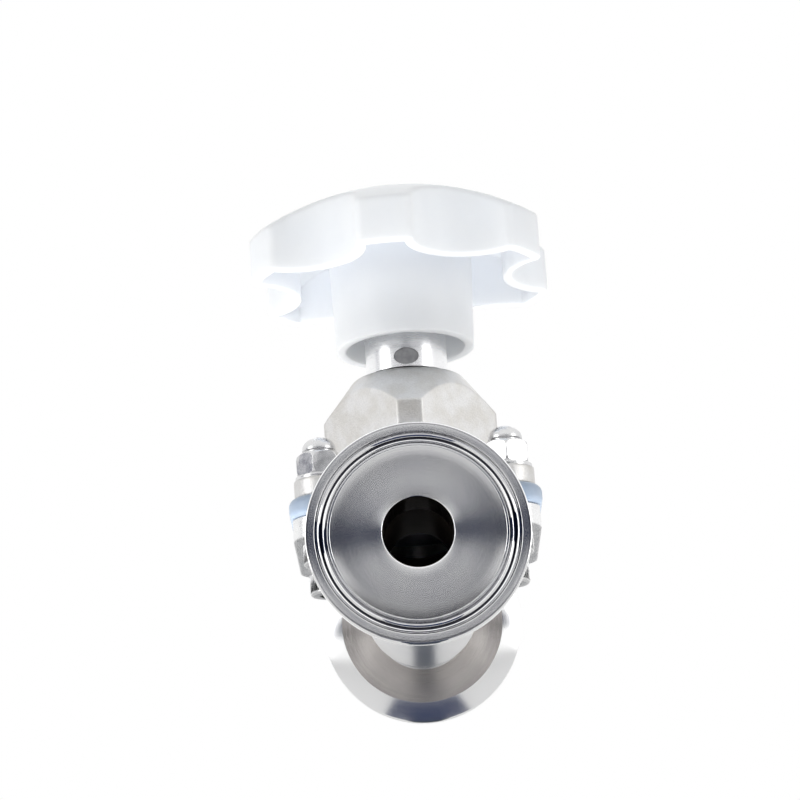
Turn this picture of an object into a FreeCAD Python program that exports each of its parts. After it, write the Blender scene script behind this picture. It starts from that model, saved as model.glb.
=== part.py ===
# Manual diaphragm valve DN15 with clamp ends: weir body, light blue diaphragm, cast bonnet, star handwheel.
# Millimetres. The origin is the centre of the inlet clamp face, the flow runs along +Y and the stem stands up
# along +Z. The valve is modelled open; turning the wheel clockwise lowers the stem by "travel".
import FreeCAD, Part
import Sketcher
import os
import re
from FreeCAD import Vector, Placement, Rotation

doc = FreeCAD.newDocument("DiaphragmValve")

# Driving sizes, in millimetres, degrees or counts
sizes = [
    ("faceToFace", 108.0, "inlet clamp face to outlet clamp face"),
    ("boreRadius", 8.0, "flow bore of the ferrules"),
    ("bodyBore", 8.3, "flow bore of the body, a little wider than in the ferrules"),
    ("tubeRadius", 9.5, "outside of the tube stubs"),
    ("ferruleRadius", 25.25, "outside of the clamp rim"),
    ("ferruleRim", 2.85, "rim thickness at its edge"),
    ("ferruleBackRadius", 20.4, "where the clamp bevel meets the flat back"),
    ("ferruleBevel", 20.0, "clamp bevel, degrees"),
    ("ferruleFillet", 2.5, "between the back and the neck"),
    ("ferruleLength", 12.0, "face to the weld with the body stub"),
    ("gasketRadius", 21.7, "centre line of the gasket groove"),
    ("gasketSection", 1.6, "section radius of the gasket groove"),
    ("flangeSeat", 12.6, "sealing face of the body above the bore axis"),
    ("bodyFlangeThickness", 5.0, "body flange"),
    ("flangeHalfWidth", 29.1, "body flange across the flow"),
    ("flangeHalfLength", 24.0, "body flange along the flow"),
    ("flangeCorner", 7.0, "rounding of the flange corners"),
    ("barrelRadius", 14.0, "round barrel of the body"),
    ("stubLength", 3.3, "tube stub between a ferrule and the barrel"),
    ("barrelEnd", 4.0, "rounding of the barrel's ends"),
    ("barrelFlat", 1.6, "sealing face to the flat on the barrel"),
    ("bodyWall", 5.0, "wall round the opening"),
    ("openingHalfX", 13.0, "opening over the weir, across the flow"),
    ("openingHalfY", 16.5, "opening over the weir, along the flow"),
    ("openingDepth", 12.6, "depth of the opening"),
    ("bowlFoot", 5.0, "outside of the bowl below the bore axis"),
    ("bowlRound", 6.0, "rounding of the bowl's foot"),
    ("weirTop", 5.0, "weir crest above the bore axis"),
    ("weirCrest", 2.0, "half thickness of the weir at the seat"),
    ("weirFoot", 7.5, "half thickness of the weir at its foot"),
    ("boltSpacingX", 44.0, "bolts across the flow"),
    ("boltSpacingY", 34.0, "bolts along the flow"),
    ("boltRadius", 3.0, "bolt shank"),
    ("boltClearance", 0.3, "bolt shank to its hole"),
    ("screwHeadRadius", 5.0, "socket cap head"),
    ("screwHeadHeight", 6.0, "socket cap head"),
    ("screwSocket", 2.89, "corner radius of the hexagon socket"),
    ("screwSocketDepth", 3.0, "depth of the hexagon socket"),
    ("washerRadius", 6.0, "washer under a cap nut"),
    ("washerThickness", 1.0, "washer under a cap nut"),
    ("nutCorner", 5.77, "corner radius of the hexagon"),
    ("nutHeight", 5.6, "hexagon of the cap nut"),
    ("nutChamfer", 0.5, "chamfer on the hexagon"),
    ("domeRadius", 4.05, "dome of the cap nut"),
    ("threadClearance", 0.05, "plain shank in a plain hole in place of a thread"),
    ("diaphragmThickness", 5.15, "clamped rim of the diaphragm"),
    ("diaphragmBulge", 0.7, "how far the rim stands out of the flanges"),
    ("diaphragmEdge", 2.0, "rounding of the rim's outer edge"),
    ("membrane", 3.0, "thickness inside the clamped rim"),
    ("sealRib", 0.6, "height of the rib that meets the weir"),
    ("sealRibWidth", 2.4, "width of the rib that meets the weir"),
    ("softGap", 0.3, "between the soft diaphragm and what moves it"),
    ("studHeadRadius", 4.5, "head moulded into the diaphragm"),
    ("studHeadHeight", 0.9, "head moulded into the diaphragm"),
    ("studRadius", 2.0, "shank of the diaphragm stud"),
    ("studLength", 7.0, "shank above the membrane"),
    ("bonnetHalfWidth", 28.4, "bonnet flange across the flow"),
    ("bonnetHalfLength", 23.5, "bonnet flange along the flow"),
    ("bonnetFlangeThickness", 4.25, "bonnet flange"),
    ("towerRadius", 21.0, "round corners of the bonnet tower"),
    ("towerFlats", 33.6, "across the four flats that clear the nuts"),
    ("towerHeight", 28.1, "bonnet flange to the shoulder"),
    ("shoulderRadius", 13.3, "top of the cone"),
    ("shoulderRound", 2.0, "rounding of the shoulder"),
    ("coneHeight", 10.2, "height of the cone"),
    ("towerFoot", 2.0, "fillet at the foot of the tower"),
    ("cavityRadius", 13.4, "bore for the compressor"),
    ("cavityHeight", 19.25, "bore for the compressor"),
    ("guideReach", 17.2, "guide grooves from the stem axis"),
    ("guideWidth", 6.2, "guide grooves"),
    ("guideHeight", 16.5, "guide grooves above the diaphragm"),
    ("guideClearance", 0.2, "compressor lug in its groove"),
    ("compressorRadius", 12.6, "guide disc"),
    ("compressorDisc", 4.0, "guide disc thickness"),
    ("noseHeight", 7.1, "diaphragm back to the guide disc"),
    ("fingerHalfWidth", 3.6, "pressing fingers"),
    ("fingerReach", 11.0, "fingers along the flow"),
    ("fingerRadius", 20.0, "curve of the fingers along the flow"),
    ("hubRadius", 8.6, "compressor hub"),
    ("hubHeight", 8.0, "compressor hub above the disc"),
    ("lugHeight", 5.0, "guide lugs"),
    ("pinRadius", 1.0, "spindle retaining pins"),
    ("pinLength", 14.4, "spindle retaining pins"),
    ("thrustThickness", 1.0, "thrust washer under the spindle"),
    ("spindleRadius", 5.0, "spindle over its thread"),
    ("spindleGroove", 3.2, "spindle in the retaining groove"),
    ("spindleTip", 2.0, "end collar of the spindle"),
    ("runClearance", 0.06, "running fits"),
    ("sleeveRadius", 10.0, "polished neck"),
    ("sleeveHeight", 19.4, "polished neck above the shoulder"),
    ("spigotRadius", 8.5, "neck inside the tower"),
    ("spigotLength", 11.6, "neck inside the tower"),
    ("neckGrooveRadius", 8.9, "groove at the foot of the neck"),
    ("neckGrooveHeight", 1.1, "groove at the foot of the neck"),
    ("neckRingSection", 0.5, "ring in the foot groove, section radius"),
    ("bushRadius", 7.0, "spindle bush outside"),
    ("bushLength", 23.0, "spindle bush"),
    ("sealPocket", 2.8, "depth of the stem seal pocket"),
    ("sealRadius", 7.4, "stem seal pocket"),
    ("sealSection", 1.0, "stem seal, section radius"),
    ("bushFloor", 4.5, "spigot end to the spindle bush"),
    ("circlipThickness", 0.9, "ring over the spindle bush"),
    ("circlipDepth", 0.55, "groove of that ring"),
    ("wiperHeight", 2.3, "wiper ring in the neck's mouth"),
    ("slotHalfWidth", 3.0, "oval weep slot"),
    ("slotHalfHeight", 2.1, "oval weep slot"),
    ("slotAbove", 3.7, "slot centre above the shoulder"),
    ("plugRecess", 0.3, "plug below the neck's surface"),
    ("travel", 7.0, "stem travel from open to closed"),
    ("skirtGap", 1.1, "wheel skirt above the shoulder when closed"),
    ("skirtRadius", 16.8, "wheel skirt outside, at its lower end"),
    ("skirtDraft", 1.4, "how much wider the skirt is at the web"),
    ("skirtBore", 14.5, "wheel skirt inside"),
    ("skirtDepth", 19.8, "depth of the space round the neck"),
    ("wheelRadius", 37.9, "over the lobes"),
    ("lobeCount", 6.0, "lobes and scallops of the wheel"),
    ("lobePhase", -5.5, "turn of the front lobe from the flow axis, degrees"),
    ("scallopOffset", 41.0, "centre of a finger scallop"),
    ("scallopRadius", 13.7, "finger scallop"),
    ("lobeCorner", 2.0, "rounding of the lobe corners"),
    ("wheelDrop", 15.8, "skirt's lower end to the rim's lower edge"),
    ("wheelCrown", 23.1, "rim's lower edge to the top of the crown"),
    ("crownRadius", 66.0, "sphere of the crown"),
    ("crownEdge", 1.6, "rounding of the upper edge"),
    ("rimEdge", 0.6, "rounding of the lower edge"),
    ("wheelWall", 2.2, "rim wall"),
    ("wheelWeb", 3.0, "web under the crown"),
    ("insertRadius", 9.0, "metal insert in the wheel"),
    ("insertFlange", 11.0, "flange of the insert"),
    ("insertFlangeHeight", 2.0, "flange of the insert"),
    ("insertHeight", 9.0, "metal insert in the wheel"),
    ("insertFloor", 1.0, "skirt space to the insert"),
    ("squareSide", 7.0, "square end of the spindle"),
    ("squareClearance", 0.05, "square end in the insert"),
    ("wheelNutRadius", 5.77, "corner radius of the wheel nut"),
    ("wheelNutHeight", 3.6, "wheel nut"),
    ("wheelStud", 3.0, "threaded end of the spindle"),
    ("wheelWasher", 7.0, "washer under the wheel nut"),
    ("capRadius", 8.0, "snap cap in the crown"),
    ("capHeight", 2.4, "snap cap in the crown"),
    ("capWall", 1.2, "skirt of the snap cap"),
    ("capSkirt", 3.0, "skirt of the snap cap"),
    ("capClearance", 0.1, "snap cap in its recess"),
]

# Places and sizes that follow from the driving ones
places = [
    ("stemY", "faceToFace / 2"),
    ("barrelReach", "stemY - ferruleLength - stubLength"),
    ("ferruleBack", "ferruleRim + (ferruleRadius - ferruleBackRadius) * tan(ferruleBevel * 1 deg)"),
    ("bonnetSeat", "flangeSeat + diaphragmThickness"),
    ("bonnetFlangeTop", "bonnetSeat + bonnetFlangeThickness"),
    ("shoulder", "bonnetFlangeTop + towerHeight"),
    ("bodyFlangeBottom", "flangeSeat - bodyFlangeThickness"),
    ("saddleDepth", "flangeSeat - weirTop"),
    ("saddleRadius", "(openingHalfX * openingHalfX + saddleDepth * saddleDepth) / (2 * saddleDepth)"),
    ("boltHole", "boltRadius + boltClearance"),
    ("nutSeat", "bonnetFlangeTop + washerThickness"),
    ("screwEnd", "nutSeat + nutHeight + domeRadius * 0.4"),
    ("membraneTop", "flangeSeat + membrane"),
    ("studHeadSeat", "flangeSeat + 0.35 * membrane"),
    ("noseFoot", "membraneTop + softGap"),
    ("noseRadius", "saddleRadius - membrane - sealRib - softGap"),
    ("discFoot", "noseFoot + noseHeight"),
    ("discTop", "discFoot + compressorDisc"),
    ("hubTop", "discTop + hubHeight"),
    ("spindleFoot", "discTop + 1 + thrustThickness"),
    ("grooveFoot", "spindleFoot + spindleTip"),
    ("pinHeight", "grooveFoot + pinRadius + 0.1"),
    ("pinOffset", "spindleGroove + pinRadius + 0.05"),
    ("spigotFoot", "shoulder - spigotLength"),
    ("neckTop", "shoulder + sleeveHeight"),
    ("bushFoot", "spigotFoot + bushFloor"),
    ("bushTop", "bushFoot + bushLength"),
    ("circlipTop", "bushTop + circlipThickness"),
    ("slotHeight", "shoulder + slotAbove"),
    ("skirtFoot", "shoulder + travel + skirtGap"),
    ("skirtRoof", "skirtFoot + skirtDepth"),
    ("rimFoot", "skirtFoot + wheelDrop"),
    ("crownTop", "rimFoot + wheelCrown"),
    ("crownCentre", "crownTop - crownRadius"),
    ("insertFoot", "skirtRoof + insertFloor"),
    ("insertTop", "insertFoot + insertHeight"),
    ("spindleShoulder", "insertFoot - 2"),
    ("wheelNutSeat", "insertTop + washerThickness"),
    ("spindleTop", "wheelNutSeat + wheelNutHeight + 0.8"),
    ("capSeat", "crownTop - capHeight + 0.4"),
]

sheet = doc.addObject("Spreadsheet::Sheet", "Sizes")
for row, (alias, number, note) in enumerate(sizes, start=1):
    sheet.set("A%d" % row, note)
    sheet.set("B%d" % row, str(number))
    sheet.setAlias("B%d" % row, alias)
levels = doc.addObject("Spreadsheet::Sheet", "Places")
sizeNames = {alias for alias, number, note in sizes}
placeNames = {alias for alias, formula in places}


# A formula written with bare names, with each name pointed at its sheet
def linked(formula, inPlaces=False):
    def point(match):
        word = match.group(0)
        if word in sizeNames:
            return "Sizes." + word
        if word in placeNames and not inPlaces:
            return "Places." + word
        return word
    return re.sub(r"[A-Za-z][A-Za-z0-9]*", point, formula)


for row, (alias, formula) in enumerate(places, start=1):
    levels.set("A%d" % row, alias)
    levels.set("B%d" % row, "=" + linked(formula, inPlaces=True))
    levels.setAlias("B%d" % row, alias)
    doc.recompute()


# The number behind a name of either sheet
def size(name):
    if name in sizeNames:
        return float(sheet.get(name))
    return float(levels.get(name))


def bind(item, **formulas):
    for name, formula in formulas.items():
        item.setExpression(name, linked(formula))


def place(item, x="0", y="stemY", z="0"):
    for axis, formula in (("x", x), ("y", y), ("z", z)):
        if formula != "0":
            item.setExpression("Placement.Base." + axis, linked(formula))


def turnTo(item, axis, angle):
    item.Placement = Placement(Vector(0, 0, 0), Rotation(axis, angle))


alongY = (Vector(1, 0, 0), -90)
againstY = (Vector(1, 0, 0), 90)
alongX = (Vector(0, 1, 0), 90)


def cylinder(name, radius, height, x="0", y="stemY", z="0", turn=None):
    item = doc.addObject("Part::Cylinder", name)
    if turn:
        turnTo(item, *turn)
    bind(item, Radius=radius, Height=height)
    place(item, x, y, z)
    return item


def box(name, length, width, height, x, y, z):
    item = doc.addObject("Part::Box", name)
    bind(item, Length=length, Width=width, Height=height)
    place(item, x, y, z)
    return item


# Upright oval bar, longer along the flow than across it
def oval(name, halfX, halfY, height, z):
    ring = doc.addObject("Part::Ellipse", name + "Outline")
    turnTo(ring, Vector(0, 0, 1), 90)
    bind(ring, MajorRadius=halfY, MinorRadius=halfX)
    place(ring, z=z)
    bar = doc.addObject("Part::Extrusion", name)
    bar.Base = ring
    bar.Dir = Vector(0, 0, 1)
    bind(bar, LengthFwd=height)
    bar.Solid = True
    return bar


def fuse(name, *items):
    item = doc.addObject("Part::MultiFuse", name)
    item.Shapes = list(items)
    item.Refine = True
    return item


def common(name, *items):
    item = doc.addObject("Part::MultiCommon", name)
    item.Shapes = list(items)
    return item


def cut(name, base, *tools):
    item = doc.addObject("Part::Cut", name)
    item.Base = base
    item.Tool = tools[0] if len(tools) == 1 else fuse(name + "Tools", *tools)
    return item


# Fillet of the edges that a test on the edge picks
def rounded(name, base, radius, pick):
    doc.recompute()
    item = doc.addObject("Part::Fillet", name)
    item.Base = base
    chosen = [i for i, edge in enumerate(base.Shape.Edges, start=1) if pick(edge)]
    item.Edges = [(i, size(radius), size(radius)) for i in chosen]
    return item


def upright(edge):
    ends = edge.BoundBox
    return ends.XLength < 0.01 and ends.YLength < 0.01 and ends.ZLength > 1


def levelAt(height):
    return lambda edge: abs(edge.BoundBox.ZMin - height) < 0.01 and edge.BoundBox.ZLength < 0.01


def plane(body, role):
    return next(item for item in body.Origin.OriginFeatures if item.Role == role)


# Closed outline whose corners are held by a formula across and a formula up
def outline(sketch, corners):
    count = len(corners)
    start = [Vector(10 + i, 10 + (i * i) % 7, 0) for i in range(count)]
    for i in range(count):
        sketch.addGeometry(Part.LineSegment(start[i], start[(i + 1) % count]), False)
    for i in range(count):
        sketch.addConstraint(Sketcher.Constraint("Coincident", i, 2, (i + 1) % count, 1))
    for i, (across, up) in enumerate(corners):
        hold(sketch, i, "DistanceX", across, -2, start[i].x)
        hold(sketch, i, "DistanceY", up, -1, start[i].y)


def hold(sketch, line, kind, formula, axis, guess):
    if formula == "0":
        sketch.addConstraint(Sketcher.Constraint("PointOnObject", line, 1, axis))
        return
    number = sketch.addConstraint(Sketcher.Constraint(kind, -1, 1, line, 1, guess))
    sketch.setExpression("Constraints[%d]" % number, linked(formula))


# Body turned about its own Z axis from (radius, height) corners
def turned(name, corners):
    body = doc.addObject("PartDesign::Body", name)
    sketch = body.newObject("Sketcher::SketchObject", name + "Profile")
    sketch.AttachmentSupport = [(plane(body, "XZ_Plane"), "")]
    sketch.MapMode = "FlatFace"
    outline(sketch, corners)
    turn = body.newObject("PartDesign::Revolution", name + "Turn")
    turn.Profile = sketch
    turn.ReferenceAxis = (sketch, ["V_Axis"])
    turn.Angle = 360
    body.Tip = turn
    return body


def ring(name, inner, outer, foot, top):
    body = turned(name, [(inner, "0"), (outer, "0"), (outer, "%s - (%s)" % (top, foot)),
                         (inner, "%s - (%s)" % (top, foot))])
    place(body, z=foot)
    return body


def finish(item, label):
    item.Label = label
    nodes.append(item)
    return item


nodes = []


# Clamp ferrule: rim with a gasket groove, clamp bevel, flat back and weld neck
def ferrule(label, turn, y):
    body = turned(label, [("boreRadius", "0"), ("ferruleRadius", "0"), ("ferruleRadius", "ferruleRim"),
                          ("ferruleBackRadius", "ferruleBack"), ("tubeRadius", "ferruleBack"),
                          ("tubeRadius", "ferruleLength"), ("boreRadius", "ferruleLength")])
    groove = body.newObject("Sketcher::SketchObject", label + "GrooveProfile")
    groove.AttachmentSupport = [(plane(body, "XZ_Plane"), "")]
    groove.MapMode = "FlatFace"
    groove.addGeometry(Part.Circle(Vector(20, 0, 0), Vector(0, 0, 1), 2), False)
    groove.addConstraint(Sketcher.Constraint("PointOnObject", 0, 3, -1))
    across = groove.addConstraint(Sketcher.Constraint("DistanceX", -1, 1, 0, 3, 20))
    section = groove.addConstraint(Sketcher.Constraint("Radius", 0, 2))
    groove.setExpression("Constraints[%d]" % across, linked("gasketRadius"))
    groove.setExpression("Constraints[%d]" % section, linked("gasketSection"))
    cutter = body.newObject("PartDesign::Groove", label + "Groove")
    cutter.Profile = groove
    cutter.ReferenceAxis = (groove, ["V_Axis"])
    cutter.Angle = 360
    body.Tip = cutter
    doc.recompute()

    # The circle where the neck meets the flat back gets the large fillet
    def inCorner(edge):
        box = edge.BoundBox
        level = abs(box.ZMin - size("ferruleBack")) < 0.01 and box.ZLength < 0.01
        return level and abs(box.XMax - size("tubeRadius")) < 0.01
    names = ["Edge%d" % i for i, edge in enumerate(cutter.Shape.Edges, start=1) if inCorner(edge)]
    blend = body.newObject("PartDesign::Fillet", label + "Blend")
    blend.Base = (cutter, names)
    bind(blend, Radius="ferruleFillet")
    body.Tip = blend
    turnTo(body, *turn)
    place(body, y=y)
    return finish(body, label)


ferrule("inlet_ferrule", alongY, "0")
ferrule("outlet_ferrule", againstY, "faceToFace")


def flangePlate(name, halfWidth, halfLength, foot, thickness, corner):
    plate = box(name + "Block", "2 * (%s)" % halfWidth, "2 * (%s)" % halfLength, thickness,
                "-(%s)" % halfWidth, "stemY - (%s)" % halfLength, foot)
    return rounded(name, plate, corner, upright)


boltPlaces = [("boltSpacingX / 2 * %d" % i, "stemY + boltSpacingY / 2 * %d" % j)
              for i in (-1, 1) for j in (-1, 1)]


def boltHoles(name, radius, foot, height):
    return [cylinder("%s%d" % (name, i), radius, height, x, y, foot)
            for i, (x, y) in enumerate(boltPlaces)]


def atBarrelEnd(edge):
    return edge.BoundBox.YLength < 0.01


# Body: tube stubs, round barrel, bowl, flange, and a weir left standing in the flow space
def valveBody():
    tube = cylinder("BodyTube", "tubeRadius", "faceToFace - 2 * ferruleLength", y="ferruleLength", turn=alongY)
    barrel = rounded("BodyBarrel", cylinder("BarrelBlank", "barrelRadius", "2 * barrelReach",
                                            y="stemY - barrelReach", turn=alongY), "barrelEnd", atBarrelEnd)
    below = box("BelowFlat", "4 * barrelRadius", "2 * barrelReach", "flangeSeat - barrelFlat + 2 * barrelRadius",
                "-2 * barrelRadius", "stemY - barrelReach", "-2 * barrelRadius")
    bowl = rounded("BodyBowl", oval("BowlBlank", "openingHalfX + bodyWall", "openingHalfY + bodyWall",
                                    "bodyFlangeBottom + bowlFoot", "-bowlFoot"), "bowlRound",
                   levelAt(-size("bowlFoot")))
    flange = flangePlate("BodyFlange", "flangeHalfWidth", "flangeHalfLength", "bodyFlangeBottom",
                         "bodyFlangeThickness", "flangeCorner")
    solid = fuse("BodySolid", tube, common("FlatBarrel", barrel, below), bowl, flange)
    bore = cylinder("BodyBore", "bodyBore", "faceToFace", y="0", turn=alongY)
    opening = oval("BodyOpening", "openingHalfX", "openingHalfY", "openingDepth + 1", "flangeSeat - openingDepth")
    hollow = cut("BodyHollow", fuse("BodySpace", bore, opening), weir())
    holes = boltHoles("BodyBolt", "boltHole", "bodyFlangeBottom - 1", "bodyFlangeThickness + 2")
    return finish(cut("ValveBody", solid, hollow, *holes), "valve_body")


# Weir: a wall across the flow that thins upwards, hollowed by the saddle that the diaphragm closes on
def weir():
    profile = doc.addObject("Sketcher::SketchObject", "WeirProfile")
    turnTo(profile, Vector(1, 1, 1), 120)
    place(profile)
    outline(profile, [("-weirFoot", "-bodyBore - 1"), ("weirFoot", "-bodyBore - 1"),
                      ("weirCrest", "flangeSeat"), ("-weirCrest", "flangeSeat")])
    wall = doc.addObject("Part::Extrusion", "WeirWall")
    wall.Base = profile
    wall.DirMode = "Normal"
    bind(wall, LengthFwd="4 * openingHalfX")
    wall.Symmetric = True
    wall.Solid = True
    saddle = cylinder("WeirSaddle", "saddleRadius", "2 * openingHalfY", y="stemY - openingHalfY",
                      z="flangeSeat - saddleDepth + saddleRadius", turn=alongY)
    return cut("Weir", wall, saddle)


valveBody()


# Diaphragm: clamped rim with rounded edges, thinner inside, a rib for the weir and a pocket for the stud
def diaphragm():
    plate = flangePlate("DiaphragmPlate", "flangeHalfWidth + diaphragmBulge",
                        "flangeHalfLength + diaphragmBulge", "flangeSeat", "diaphragmThickness",
                        "flangeCorner")

    def outer(edge):
        return levelAt(size("flangeSeat"))(edge) or levelAt(size("bonnetSeat"))(edge)
    rim = rounded("DiaphragmRim", plate, "diaphragmEdge", outer)
    pocket = oval("DiaphragmRecess", "openingHalfX", "openingHalfY", "diaphragmThickness", "membraneTop")
    rib = box("DiaphragmRib", "1.8 * openingHalfX", "sealRibWidth", "sealRib", "-0.9 * openingHalfX",
              "stemY - sealRibWidth / 2", "flangeSeat - sealRib")
    stud = cylinder("StudHole", "studRadius + softGap", "diaphragmThickness", z="studHeadSeat")
    head = cylinder("StudHeadPocket", "studHeadRadius + softGap", "studHeadHeight + 2 * softGap",
                    z="studHeadSeat - softGap")
    holes = boltHoles("DiaphragmBolt", "boltHole", "flangeSeat - 1", "diaphragmThickness + 2")
    solid = fuse("DiaphragmSolid", cut("DiaphragmHollow", rim, pocket), rib)
    return finish(cut("Diaphragm", solid, stud, head, *holes), "diaphragm")


diaphragm()
stud = turned("DiaphragmStud", [("0", "0"), ("studHeadRadius", "0"), ("studHeadRadius", "studHeadHeight"),
                                ("studRadius", "studHeadHeight"),
                                ("studRadius", "membraneTop - studHeadSeat + studLength"),
                                ("0", "membraneTop - studHeadSeat + studLength")])
place(stud, z="studHeadSeat")
finish(stud, "diaphragm_stud")


# Bonnet: flange, square tower with turned corners, cone up to the shoulder, compressor bore with guides
def bonnet():
    flange = flangePlate("BonnetFlange", "bonnetHalfWidth", "bonnetHalfLength", "bonnetSeat",
                         "bonnetFlangeThickness", "flangeCorner")
    column = turned("TowerColumn", [("0", "0"), ("towerRadius", "0"), ("towerRadius", "towerHeight - coneHeight"),
                                    ("shoulderRadius", "towerHeight"), ("0", "towerHeight")])
    place(column, z="bonnetFlangeTop")
    square = doc.addObject("Part::Prism", "TowerSquare")
    square.Polygon = 4
    bind(square, Circumradius="towerFlats / sqrt(2)", Height="towerHeight")
    place(square, z="bonnetFlangeTop")
    tower = common("Tower", column, square)
    outside = fuse("BonnetOutside", flange, tower)

    def foot(edge):
        box = edge.BoundBox
        level = abs(box.ZMin - size("bonnetFlangeTop")) < 0.01 and box.ZLength < 0.01
        inside = box.XMax < size("towerRadius") + 0.1 and box.XMin > -size("towerRadius") - 0.1
        return level and inside
    footed = rounded("BonnetFoot", outside, "towerFoot", foot)
    shell = rounded("BonnetShell", footed, "shoulderRound", levelAt(size("shoulder")))
    chamber = cylinder("Chamber", "cavityRadius", "cavityHeight", z="bonnetSeat")
    guides = box("Guides", "2 * guideReach", "guideWidth", "guideHeight", "-guideReach",
                 "stemY - guideWidth / 2", "bonnetSeat")
    stemHole = cylinder("StemHole", "spindleRadius + 10 * runClearance", "towerHeight", z="bonnetFlangeTop")
    seat = cylinder("SleeveSeat", "spigotRadius + threadClearance", "spigotLength + 1", z="spigotFoot")
    holes = boltHoles("BonnetBolt", "boltHole", "bonnetSeat - 1", "bonnetFlangeThickness + 2")
    return finish(cut("Bonnet", shell, chamber, guides, stemHole, seat, *holes), "bonnet")


bonnet()


# Polished neck: spigot in the tower, foot groove, bush bore, seal pocket, ring groove and the oval slot
def sleeve():
    body = turned("SleeveTurned", [
        ("spindleRadius + 10 * runClearance", "sealPocket"), ("sealRadius", "sealPocket"), ("sealRadius", "0"),
        ("spigotRadius", "0"), ("spigotRadius", "spigotLength"), ("neckGrooveRadius", "spigotLength"),
        ("neckGrooveRadius", "spigotLength + neckGrooveHeight"),
        ("sleeveRadius", "spigotLength + neckGrooveHeight"),
        ("sleeveRadius", "spigotLength + sleeveHeight - 0.6"),
        ("sleeveRadius - 0.6", "spigotLength + sleeveHeight"), ("bushRadius", "spigotLength + sleeveHeight"),
        ("bushRadius", "circlipTop - spigotFoot"), ("bushRadius + circlipDepth", "circlipTop - spigotFoot"),
        ("bushRadius + circlipDepth", "bushTop - spigotFoot"), ("bushRadius", "bushTop - spigotFoot"),
        ("bushRadius", "bushFloor"), ("spindleRadius + 10 * runClearance", "bushFloor")])
    place(body, z="spigotFoot")
    finish(cut("Sleeve", body, slotPrism("SlotCutter", "0", "sleeveRadius + 2")), "bonnet_sleeve")
    face = cylinder("PlugFace", "sleeveRadius - plugRecess", "4 * slotHalfHeight",
                    z="slotHeight - 2 * slotHalfHeight")
    back = cylinder("PlugBack", "bushRadius + threadClearance", "4 * slotHalfHeight",
                    z="slotHeight - 2 * slotHalfHeight")
    oval = slotPrism("PlugPrism", "threadClearance", "sleeveRadius + 2")
    finish(cut("WeepPlug", common("PlugOval", oval, face), back), "weep_plug")


# Oval bar from the stem axis towards the inlet
def slotPrism(name, gap, reach):
    oval = doc.addObject("Part::Ellipse", name + "Outline")
    turnTo(oval, *againstY)
    bind(oval, MajorRadius="slotHalfWidth - " + gap, MinorRadius="slotHalfHeight - " + gap)
    place(oval, z="slotHeight")
    bar = doc.addObject("Part::Extrusion", name)
    bar.Base = oval
    bar.Dir = Vector(0, -1, 0)
    bind(bar, LengthFwd=reach)
    bar.Solid = True
    return bar


sleeve()
finish(ring("SpindleBush", "spindleRadius + runClearance", "bushRadius", "bushFoot", "bushTop"), "spindle_bush")
finish(ring("StemWiper", "spindleRadius + softGap", "bushRadius", "circlipTop", "circlipTop + wiperHeight"),
       "stem_wiper")


def torus(label, centre, section, height):
    item = doc.addObject("Part::Torus", "Ring_" + label)
    item.Angle1 = -180
    item.Angle2 = 180
    item.Angle3 = 360
    bind(item, Radius1=centre, Radius2=section)
    place(item, z=height)
    return finish(item, label)


torus("stem_oring", "sealRadius - sealSection - 0.05", "sealSection", "spigotFoot + sealSection + 0.05")
torus("neck_oring", "neckGrooveRadius + neckRingSection + 0.02", "neckRingSection",
      "shoulder + neckGrooveHeight / 2")


def circlip():
    whole = ring("CirclipRing", "bushRadius - 1", "bushRadius + circlipDepth - 0.05", "bushTop + 0.05",
                 "circlipTop - 0.05")
    gap = box("CirclipGap", "6", "bushRadius + 2", "circlipThickness + 1", "-3", "stemY", "bushTop - 0.5")
    finish(cut("Circlip", whole, gap), "bush_circlip")


circlip()


def group(label, makeOne):
    items = [makeOne("%s%d" % (label, i), x, y) for i, (x, y) in enumerate(boltPlaces)]
    item = doc.addObject("Part::Compound", "Group_" + label)
    item.Links = items
    return finish(item, label)


# Socket cap screw, head down, its shank reaching into the cap nut
def capScrew(name, x, y):
    body = turned(name + "Turned", [("0", "-screwHeadHeight"), ("screwHeadRadius - 0.5", "-screwHeadHeight"),
                                    ("screwHeadRadius", "-screwHeadHeight + 0.5"), ("screwHeadRadius", "0"),
                                    ("boltRadius", "0"), ("boltRadius", "screwEnd - bodyFlangeBottom"),
                                    ("0", "screwEnd - bodyFlangeBottom")])
    place(body, x, y, "bodyFlangeBottom")
    socket = doc.addObject("Part::Prism", name + "Socket")
    socket.Polygon = 6
    bind(socket, Circumradius="screwSocket", Height="screwSocketDepth + 1")
    place(socket, x, y, "bodyFlangeBottom - screwHeadHeight - 1")
    return cut(name, body, socket)


def washer(name, x, y):
    body = turned(name, [("boltRadius + 0.2", "0"), ("washerRadius", "0"), ("washerRadius", "washerThickness"),
                         ("boltRadius + 0.2", "washerThickness")])
    place(body, x, y, "bonnetFlangeTop")
    return body


# Cap nut: chamfered hexagon, dome and blind hole
def capNut(name, x, y):
    turning = turned(name + "Turned", [
        ("0", "0"), ("nutCorner * 0.9", "0"), ("nutCorner * 0.957", "nutChamfer"),
        ("nutCorner * 0.957", "nutHeight - nutChamfer"), ("nutCorner * 0.86", "nutHeight"), ("0", "nutHeight")])
    place(turning, x, y, "nutSeat")
    hexagon = doc.addObject("Part::Prism", name + "Hexagon")
    hexagon.Polygon = 6
    bind(hexagon, Circumradius="nutCorner", Height="nutHeight")
    place(hexagon, x, y, "nutSeat")
    dome = doc.addObject("Part::Sphere", name + "Dome")
    dome.Angle1 = 0
    bind(dome, Radius="domeRadius")
    place(dome, x, y, "nutSeat + nutHeight")
    hole = cylinder(name + "Hole", "boltRadius + threadClearance", "screwEnd - nutSeat + 0.4", x, y, "nutSeat")
    return cut(name, fuse(name + "Solid", common(name + "Nut", turning, hexagon), dome), hole)


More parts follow.
